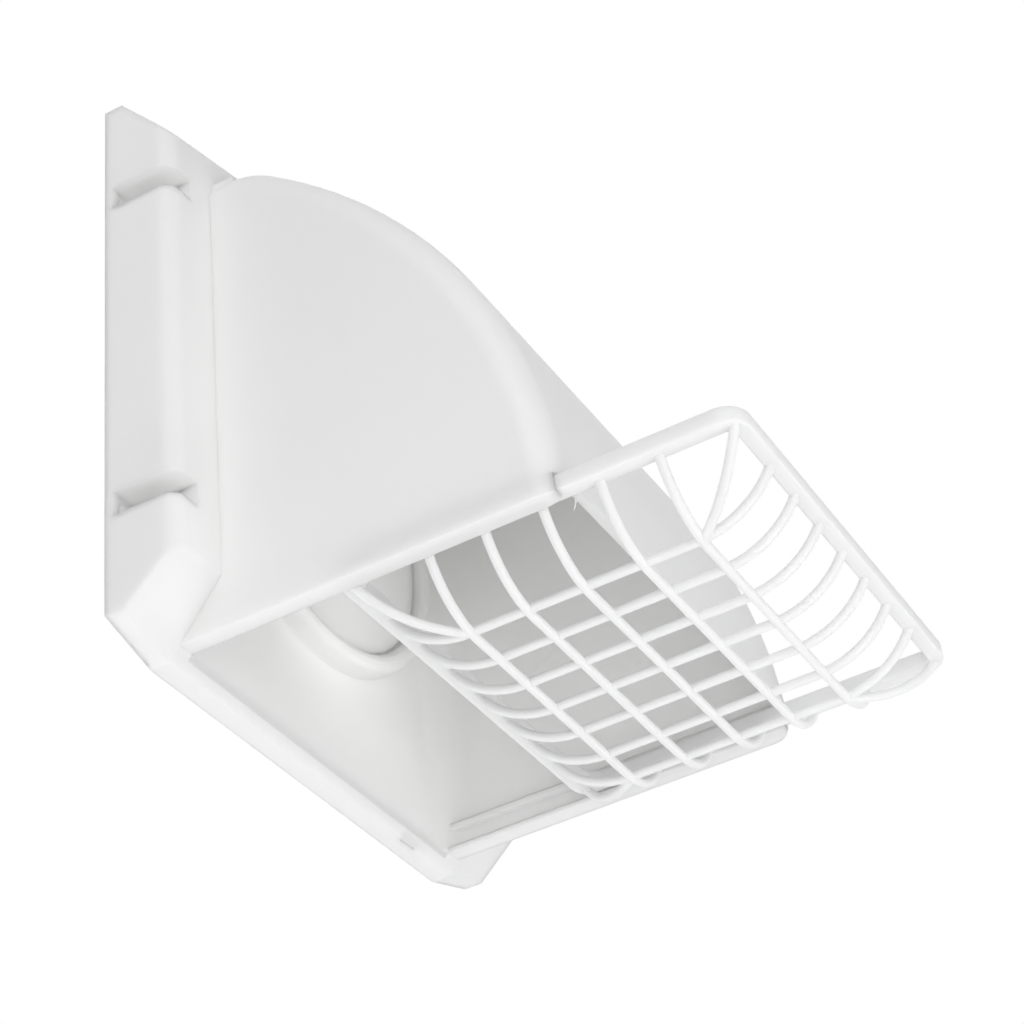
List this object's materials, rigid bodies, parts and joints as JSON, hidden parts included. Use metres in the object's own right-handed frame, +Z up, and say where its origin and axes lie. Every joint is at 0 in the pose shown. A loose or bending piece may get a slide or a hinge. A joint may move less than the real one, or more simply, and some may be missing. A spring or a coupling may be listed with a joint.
{
  "type": "dryer vent cap",
  "caption": "Wall-mounted hood that ends a dryer duct, with a bowed roof, an open mouth below, a hanging backdraught flap and a basket guard that slides out to the front.",
  "frame": {"origin": "on the duct axis, in the plane of the wall that the base sits on", "axes": "+Y along the duct into the wall, +X to the right seen from the front, +Z up"},
  "size_m": [0.166, 0.1692, 0.1872],
  "materials": {
    "hood_plastic": "white moulded polypropylene, satin",
    "guard_plastic": "white moulded polypropylene, satin",
    "flap_plastic": "white moulded polypropylene, satin"
  },
  "bodies": {
    "hood": {"hood_body": "hood_plastic"},
    "guard_basket": {"guard": "guard_plastic"},
    "damper": {"damper_flap": "flap_plastic"}
  },
  "joints": [
    {"name": "guard_slide", "type": "slide", "parent": "hood", "child": "guard_basket", "axis": [0, -1, 0], "range_m": [-0.0417, 0.068]},
    {"name": "damper_hinge", "type": "hinge", "parent": "hood", "child": "damper", "pos_m": [0, -0.0172, 0.0456], "axis": [-1, 0, 0], "range_deg": [0, 50]}
  ]
}
